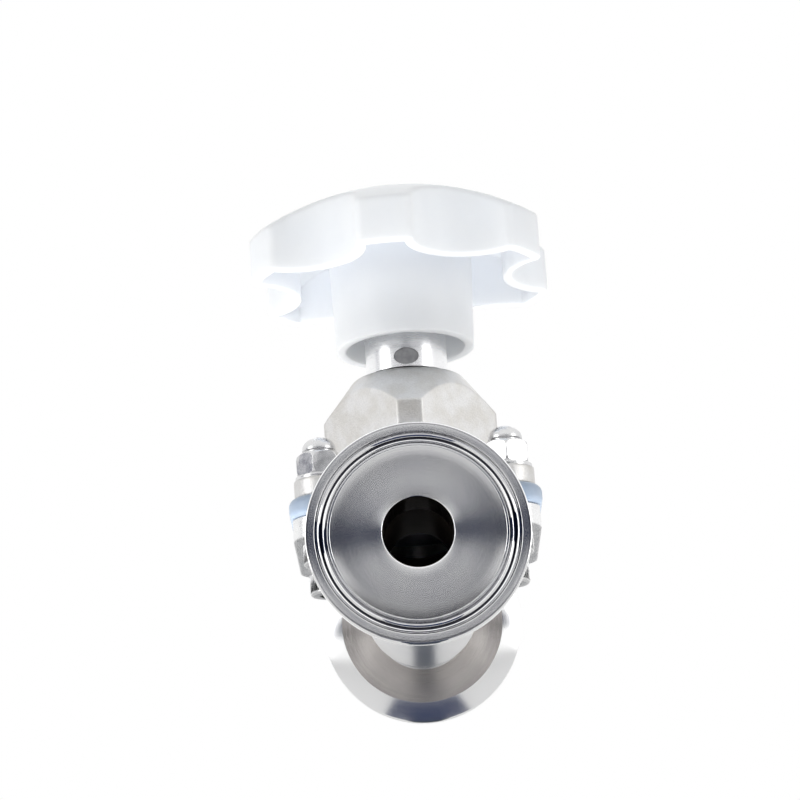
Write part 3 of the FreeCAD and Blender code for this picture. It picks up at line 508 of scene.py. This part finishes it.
# cap nut: hexagon with turned chamfers, undercut neck, dome on top
nutShape = {
    "corner": 5.77, "height": 5.6, "seat": 23.0, "edge": 0.12,
    # radii as shares of the corner, with heights above the foot and depths below the top
    "footTurning": [(0, 0), (0.9, 0), (0.97, 0.55), (0.99, 1.4)],
    "topTurning": [(0.99, 1.6), (0.955, 0.7), (0.82, 0), (0, 0)],
    "dome": 4.05, "domeFlat": 0.75, "domeFoot": 1.1, "undercut": 0.45, "undercutTop": 0.55, "domeRim": 0.75,
    "overlap": 0.5,
    "turns": {(-1, -1): -14, (1, -1): 0, (-1, 1): 8, (1, 1): -21},
}


def capNut(look):
    corner, height, dome = look["corner"], look["height"], look["dome"]
    nothingSelected()
    bpy.ops.mesh.primitive_cylinder_add(vertices=6, radius=corner * mm, depth=height * mm,
                                        location=(0, 0, height / 2 * mm))
    nut = bpy.context.object
    nut.name = "capNut"
    bpy.ops.object.mode_set(mode="EDIT")
    bpy.ops.mesh.select_all(action="SELECT")
    bpy.ops.mesh.bevel(offset=look["edge"] * mm, segments=2, affect="EDGES", offset_type="WIDTH")
    bpy.ops.object.mode_set(mode="OBJECT")
    turning = [(corner * share, up) for share, up in look["footTurning"]]
    turning += [(corner * share, height - down) for share, down in look["topTurning"]]
    cutWith(nut, "INTERSECT", turnPiece("nutTurning", turning, count=96, closed=False))
    neck, sunk = dome - look["undercut"], height - look["overlap"]
    cap = [(0, sunk), (neck, sunk), (neck, height + look["undercutTop"]), (dome, height + look["domeRim"])]
    cap += [(radius, height + look["domeFoot"] + up * look["domeFlat"])
            for radius, up in arc(0, 0, dome, 0, 90, 14)]
    cutWith(nut, "UNION", turnPiece("nutDome", cap, count=64, closed=False))
    return settle(nut, 28)


atBolts(capNut(nutShape), "capNut", nutShape["seat"], nutShape["turns"], "cap_nuts")

# socket cap screw, head down: panels sunk between the ridges of the knurling, hexagon socket, rounded rim
screwShape = {
    "head": 5.0, "headHeight": 6.0, "under": 7.6, "shank": 2.95, "tip": 25.5,
    "ridges": 40, "knurlLength": 4.6, "knurlMiddle": 3.1, "panel": (0.1, 0.13),
    "rimIn": 0.75, "rimRound": 0.7, "coreIn": 0.2, "coreFoot": 1.2, "coreTop": 0.5, "seatIn": 0.35,
    "shankRound": 0.3, "tipChamfer": 0.6, "socket": 2.89, "socketDepth": 3.0,
    "turns": {(-1, -1): 24, (1, -1): 5, (-1, 1): 41, (1, 1): 12},
}


def capScrew(look):
    head, under, shank, tip = look["head"], look["under"], look["shank"], look["tip"]
    foot = under - look["headHeight"]
    nothingSelected()
    bpy.ops.mesh.primitive_cylinder_add(vertices=look["ridges"], radius=head * mm,
                                        depth=look["knurlLength"] * mm,
                                        location=(0, 0, (foot + look["knurlMiddle"]) * mm))
    screw = bpy.context.object
    screw.name = "capScrew"
    bpy.ops.object.mode_set(mode="EDIT")
    bpy.ops.mesh.select_all(action="DESELECT")
    bpy.ops.object.mode_set(mode="OBJECT")
    for face in screw.data.polygons:
        face.select = abs(face.normal.z) < 0.5
    bpy.ops.object.mode_set(mode="EDIT")
    bpy.ops.mesh.inset(thickness=look["panel"][0] * mm, depth=-look["panel"][1] * mm, use_individual=True)
    bpy.ops.object.mode_set(mode="OBJECT")
    rim, core, chamfer = head - look["rimIn"], head - look["coreIn"], look["tipChamfer"]
    profile = [(0, foot), (rim, foot)] + arc(rim, foot + look["rimRound"], look["rimRound"], 280, 360, 5)
    profile += [(core, foot + look["coreFoot"]), (core, under - look["coreTop"]),
                (head - look["seatIn"], under), (shank + look["shankRound"], under),
                (shank, under + look["shankRound"]),
                (shank, tip - chamfer), (shank - chamfer, tip), (0, tip)]
    body = turnPiece("screwBody", profile, count=80, closed=False)
    nothingSelected()
    bpy.ops.mesh.primitive_cylinder_add(vertices=6, radius=look["socket"] * mm, location=(0, 0, foot * mm),
                                        depth=look["socketDepth"] * 2 * mm)
    socket = bpy.context.object
    cutWith(body, "DIFFERENCE", socket, keep=True)
    cutWith(screw, "DIFFERENCE", socket)
    cutWith(screw, "UNION", body)
    return settle(screw, 28)


atBolts(capScrew(screwShape), "capScrew", 0, screwShape["turns"], "cap_screws")

# plain washer with broken edges
washerShape = {"radius": 6.0, "bore": 3.2, "edge": 0.15, "foot": 22.0, "top": 23.0}


def nutWasher(look):
    bore, foot, top, edge = look["bore"], look["foot"], look["top"], look["edge"]
    outer = look["radius"] - edge
    profile = [(bore, foot)] + arc(outer, foot + edge, edge, 270, 360, 3)
    profile += arc(outer, top - edge, edge, 0, 90, 3) + [(bore + edge, top), (bore, top - edge)]
    return turnPiece("washer", profile, count=72)


atBolts(nutWasher(washerShape), "nutWasher", 0, dict.fromkeys(nutShape["turns"], 0), "nut_washers")

print("stage: bonnet")
bonnetFinish = {
    "colour": (0.66, 0.645, 0.62), "waveColour": (0.74, 0.735, 0.73), "roughness": (0.32, 0.46),
    "speckle": 0.09, "grainScale": 2500, "grainDepth": 0.7, "waveScale": 220, "waveDepth": 0.2,
    "edge": 0.9 * mm,
}
bonnetSteel = castSteel("bonnetCastSteel", bonnetFinish)

# small casting nib on the front of the bonnet's cone
nibShape = {"width": 0.9, "length": 4.2, "height": 1.0, "edge": 0.3, "place": (0.8, 36.75, 43.6), "lean": 37}


def castingNib(look):
    nothingSelected()
    bpy.ops.mesh.primitive_cube_add(size=1, location=Vector(look["place"]) * mm,
                                    rotation=(math.radians(-look["lean"]), 0, 0))
    nib = bpy.context.object
    nib.name = "castingNib"
    nib.scale = Vector((look["width"], look["height"], look["length"])) * mm
    bpy.ops.object.transform_apply(location=True, rotation=True, scale=True)
    bpy.ops.object.mode_set(mode="EDIT")
    bpy.ops.mesh.select_all(action="SELECT")
    bpy.ops.mesh.bevel(offset=look["edge"] * mm, segments=3, affect="EDGES")
    bpy.ops.object.mode_set(mode="OBJECT")
    return settle(nib)


finishPiece(castingNib(nibShape), bonnetSteel, "valve")

print("stage: diaphragm")
diaphragmFinish = {
    "colour": (0.35, 0.44, 0.57), "mottleColour": (0.44, 0.52, 0.63), "roughness": (0.3, 0.45),
    "mottleScale": 150, "pebbleScale": 2500, "pebbleDepth": 0.06, "edge": 0.4 * mm,
    "depthWeight": 0.5, "depth": 1.5 * mm, "gloss": 0.5,
}
bluePolymer = moulded("bluePolymer", diaphragmFinish)

# the CAD shape in four sectors, each sliced across between the clamped rim and the stud in the middle
diaphragmShape = {
    "rimHalf": (13.0, 16.5), "bendStart": 0.8, "bendEnd": 0.31, "slices": 11, "level": 14.0,
    "sectors": [("diaphragmRight", "x", 1), ("diaphragmLeft", "x", -1), ("diaphragmOutlet", "y", 1),
                ("diaphragmInlet", "y", -1)],
}


def diaphragmSector(look, name, axis, sign):
    source = bpy.data.objects["diaphragm"]
    piece = source.copy()
    piece.data = source.data.copy()
    piece.name = name
    piece.parent = None
    piece.matrix_world = Matrix.Identity(4)
    bpy.context.collection.objects.link(piece)
    onlySelected(piece)
    bpy.ops.object.mode_set(mode="EDIT")
    bpy.ops.mesh.select_all(action="SELECT")
    bpy.ops.mesh.remove_doubles(threshold=1e-6)
    halfX, halfY = look["rimHalf"]
    for side in (1, -1):
        outward = (-halfY * sign, halfX * side, 0) if axis == "x" else (halfY * side, -halfX * sign, 0)
        bpy.ops.mesh.select_all(action="SELECT")
        bpy.ops.mesh.bisect(plane_co=stemAxis, plane_no=Vector(outward).normalized(), use_fill=True,
                            clear_outer=True)
    out = along[axis] * sign
    reach = (halfX if axis == "x" else halfY) * mm
    for i in range(look["slices"]):
        share = look["bendEnd"] + (look["bendStart"] - look["bendEnd"]) * i / (look["slices"] - 1)
        bpy.ops.mesh.select_all(action="SELECT")
        bpy.ops.mesh.bisect(plane_co=stemAxis + out * reach * share, plane_no=out)
    bpy.ops.object.mode_set(mode="OBJECT")
    settle(piece, 30)
    paint(piece, bluePolymer)
    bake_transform(piece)
    return piece


# the CAD diaphragm is needed until all its sectors are made
for sector in [diaphragmSector(diaphragmShape, *parts) for parts in diaphragmShape["sectors"]]:
    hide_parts("diaphragm")

print("stage: paints on the CAD pieces")
sleeveFinish = {
    "colour": (0.93, 0.93, 0.94), "smearColour": (0.96, 0.96, 0.97), "roughness": (0.22, 0.34),
    "stretch": 0.8, "ringScale": 5000, "ringDepth": 0.08, "smearScale": 160,
}
sleeveSteel = turnedSteel("neckSteel", sleeveFinish, "z", stemAxis)
spindleSteel = turnedSteel("spindleSteel", dict(sleeveFinish, roughness=(0.25, 0.4)), "z", stemAxis)
compressorSteel = castSteel("compressorSteel", bonnetFinish)
springFinish = dict(fastenerFinish, colour=(0.38, 0.38, 0.39), waveColour=(0.46, 0.46, 0.47))
springSteel = castSteel("springSteel", springFinish)
bronzeFinish = dict(fastenerFinish, colour=(0.62, 0.43, 0.22), waveColour=(0.70, 0.50, 0.27))
bronze = castSteel("bushBronze", bronzeFinish)

wheelFinish = {
    "colour": (0.865, 0.895, 0.95), "mottleColour": (0.89, 0.915, 0.965), "roughness": (0.34, 0.42),
    "mottleScale": 60, "pebbleScale": 3000, "pebbleDepth": 0.04, "edge": 0.7 * mm,
    "depthWeight": 0.85, "depth": 5.0 * mm, "gloss": 0.4,
}
wheelPlastic = moulded("wheelPlastic", wheelFinish)
capPlastic = moulded("capPlastic", dict(wheelFinish, edge=0.3 * mm))
plugFinish = dict(wheelFinish, colour=(0.27, 0.27, 0.28), mottleColour=(0.36, 0.36, 0.37), mottleScale=700,
                  edge=0.2 * mm, depthWeight=0)
plugPlastic = moulded("plugPlastic", plugFinish)
rubberFinish = dict(wheelFinish, colour=(0.03, 0.03, 0.032), mottleColour=(0.06, 0.06, 0.06),
                    roughness=(0.5, 0.7), edge=0.1 * mm, depthWeight=0)
rubber = moulded("blackRubber", rubberFinish)

nodePaint = {
    "bonnet": bonnetSteel, "bonnet_sleeve": sleeveSteel, "weep_plug": plugPlastic, "neck_oring": rubber,
    "spindle": spindleSteel, "spindle_bush": bronze, "bush_circlip": springSteel, "stem_wiper": plugPlastic,
    "stem_oring": rubber, "thrust_washer": bronze, "retaining_pins": springSteel,
    "compressor": compressorSteel, "diaphragm_stud": spindleSteel,
    "handwheel": wheelPlastic, "wheel_insert": spindleSteel, "wheel_washer": fastenerSteel,
    "wheel_nut": fastenerSteel, "wheel_cap": capPlastic,
}
for name, material in nodePaint.items():
    paint(bpy.data.objects[name], material)

# body: blasted flange, polished barrel and stubs, painted shade inside the bore
barrelFinishAndPaintedShade = {
    "colour": (0.95, 0.95, 0.95), "smearColour": (0.98, 0.98, 0.975), "roughness": (0.34, 0.44),
    "stretch": 0.9, "ringScale": 3000, "ringDepth": 0.08, "smearScale": 130,
    "zoneReach": 30 * mm, "paintedLight": [(0, (0.1, 0.085, 0.075)), (9.3 * mm, (1, 1, 1))],
}
barrelSteel = turnedSteel("barrelSteel", barrelFinishAndPaintedShade, "y")
bodyFinish = dict(bonnetFinish, colour=(0.86, 0.86, 0.86), waveColour=(0.94, 0.94, 0.94),
                  roughness=(0.2, 0.32), grainDepth=0.3, speckle=0.06, edge=0.5 * mm)
bodySteel = castSteel("bodySteel", bodyFinish)
barrelReach = 14.05 * mm
valveBody = bpy.data.objects["valve_body"]
paint(valveBody, bodySteel, barrelSteel)
for face in valveBody.data.polygons:
    face.material_index = 1 if math.hypot(face.center.x, face.center.z) < barrelReach else 0
